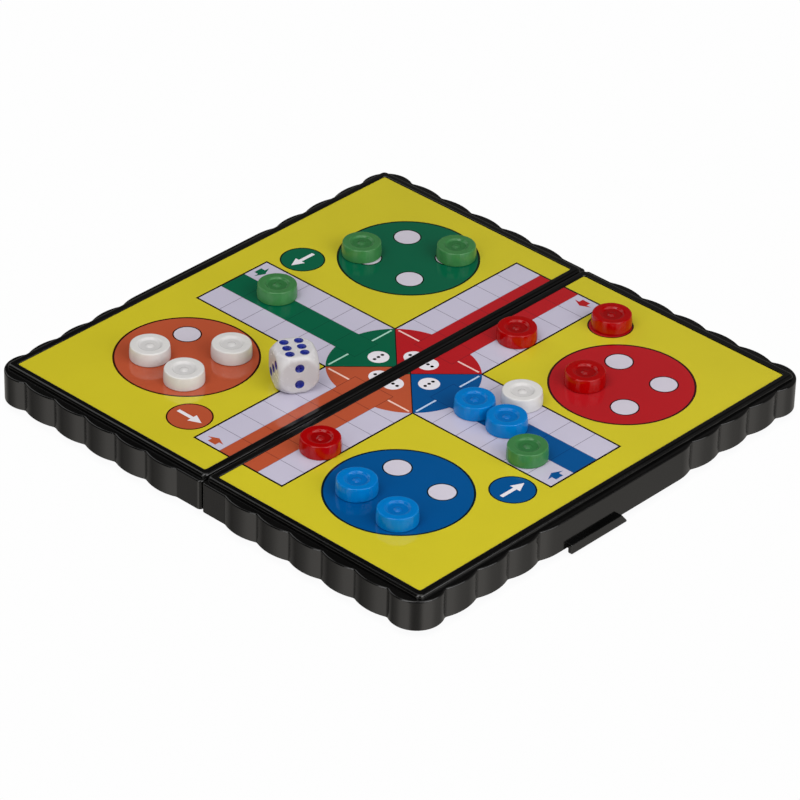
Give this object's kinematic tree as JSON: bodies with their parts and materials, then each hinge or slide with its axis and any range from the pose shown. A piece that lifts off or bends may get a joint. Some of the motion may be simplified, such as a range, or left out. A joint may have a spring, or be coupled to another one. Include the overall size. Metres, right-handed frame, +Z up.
{
  "type": "folding ludo board box",
  "caption": "Folding travel ludo box: scalloped plastic trays hinged at their rims, printed board over steel sheets, magnetic disc pawns and a die.",
  "frame": {"origin": "on the seam, midway along it, at the level of the surface the open board lies on", "axes": "+X across the seam, from the left tray to the right tray; +Y along the seam and hinge; +Z up, out of the playing face"},
  "size_m": [0.168, 0.1612, 0.0239],
  "materials": {
    "black_plastic": "moulded, satin gloss",
    "steel_sheet": "tinned",
    "printed_film": "printed ludo board, laminated",
    "pin_steel": "drawn wire",
    "magnet": "sintered ferrite",
    "pawn_red": "gloss",
    "pawn_green": "gloss",
    "pawn_white": "gloss",
    "pawn_blue": "gloss",
    "die_white": "gloss, with blue pips"
  },
  "bodies": {
    "left_tray": {"shell_left": "black_plastic", "steel_sheet_left": "steel_sheet", "print_sheet_left": "printed_film", "hinge_pin_front": "pin_steel"},
    "right_tray": {"shell_right": "black_plastic", "steel_sheet_right": "steel_sheet", "print_sheet_right": "printed_film", "hinge_pin_rear": "pin_steel"},
    "piece_green_1": {"pawn_green_1": "pawn_green", "magnet_green_1": "magnet"},
    "piece_green_2": {"pawn_green_2": "pawn_green", "magnet_green_2": "magnet"},
    "piece_green_3": {"pawn_green_3": "pawn_green", "magnet_green_3": "magnet"},
    "piece_green_4": {"pawn_green_4": "pawn_green", "magnet_green_4": "magnet"},
    "piece_red_1": {"pawn_red_1": "pawn_red", "magnet_red_1": "magnet"},
    "piece_red_2": {"pawn_red_2": "pawn_red", "magnet_red_2": "magnet"},
    "piece_red_3": {"pawn_red_3": "pawn_red", "magnet_red_3": "magnet"},
    "piece_red_4": {"pawn_red_4": "pawn_red", "magnet_red_4": "magnet"},
    "piece_white_1": {"pawn_white_1": "pawn_white", "magnet_white_1": "magnet"},
    "piece_white_2": {"pawn_white_2": "pawn_white", "magnet_white_2": "magnet"},
    "piece_white_3": {"pawn_white_3": "pawn_white", "magnet_white_3": "magnet"},
    "piece_white_4": {"pawn_white_4": "pawn_white", "magnet_white_4": "magnet"},
    "piece_blue_1": {"pawn_blue_1": "pawn_blue", "magnet_blue_1": "magnet"},
    "piece_blue_2": {"pawn_blue_2": "pawn_blue", "magnet_blue_2": "magnet"},
    "piece_blue_3": {"pawn_blue_3": "pawn_blue", "magnet_blue_3": "magnet"},
    "piece_blue_4": {"pawn_blue_4": "pawn_blue", "magnet_blue_4": "magnet"},
    "loose_die": {"die": "die_white"}
  },
  "joints": [
    {"name": "board_fold", "type": "hinge", "parent": "left_tray", "child": "right_tray", "pos_m": [0, 0, 0.0017], "axis": [0, 1, 0], "range_deg": [0, 180]},
    {"name": "lift_green_1", "type": "slide", "parent": "left_tray", "child": "piece_green_1", "axis": [0, 0, 1], "range_m": [0, 0.03]},
    {"name": "lift_green_2", "type": "slide", "parent": "left_tray", "child": "piece_green_2", "axis": [0, 0, 1], "range_m": [0, 0.03]},
    {"name": "lift_green_3", "type": "slide", "parent": "left_tray", "child": "piece_green_3", "axis": [0, 0, 1], "range_m": [0, 0.03]},
    {"name": "lift_green_4", "type": "slide", "parent": "right_tray", "child": "piece_green_4", "axis": [0, 0, 1], "range_m": [0, 0.03]},
    {"name": "lift_red_1", "type": "slide", "parent": "right_tray", "child": "piece_red_1", "axis": [0, 0, 1], "range_m": [0, 0.03]},
    {"name": "lift_red_2", "type": "slide", "parent": "right_tray", "child": "piece_red_2", "axis": [0, 0, 1], "range_m": [0, 0.03]},
    {"name": "lift_red_3", "type": "slide", "parent": "right_tray", "child": "piece_red_3", "axis": [0, 0, 1], "range_m": [0, 0.03]},
    {"name": "lift_red_4", "type": "slide", "parent": "right_tray", "child": "piece_red_4", "axis": [0, 0, 1], "range_m": [0, 0.03]},
    {"name": "lift_white_1", "type": "slide", "parent": "left_tray", "child": "piece_white_1", "axis": [0, 0, 1], "range_m": [0, 0.03]},
    {"name": "lift_white_2", "type": "slide", "parent": "left_tray", "child": "piece_white_2", "axis": [0, 0, 1], "range_m": [0, 0.03]},
    {"name": "lift_white_3", "type": "slide", "parent": "left_tray", "child": "piece_white_3", "axis": [0, 0, 1], "range_m": [0, 0.03]},
    {"name": "lift_white_4", "type": "slide", "parent": "right_tray", "child": "piece_white_4", "axis": [0, 0, 1], "range_m": [0, 0.03]},
    {"name": "lift_blue_1", "type": "slide", "parent": "right_tray", "child": "piece_blue_1", "axis": [0, 0, 1], "range_m": [0, 0.03]},
    {"name": "lift_blue_2", "type": "slide", "parent": "right_tray", "child": "piece_blue_2", "axis": [0, 0, 1], "range_m": [0, 0.03]},
    {"name": "lift_blue_3", "type": "slide", "parent": "right_tray", "child": "piece_blue_3", "axis": [0, 0, 1], "range_m": [0, 0.03]},
    {"name": "lift_blue_4", "type": "slide", "parent": "right_tray", "child": "piece_blue_4", "axis": [0, 0, 1], "range_m": [0, 0.03]},
    {"name": "lift_die", "type": "slide", "parent": "left_tray", "child": "loose_die", "axis": [0, 0, 1], "range_m": [0, 0.03]}
  ]
}
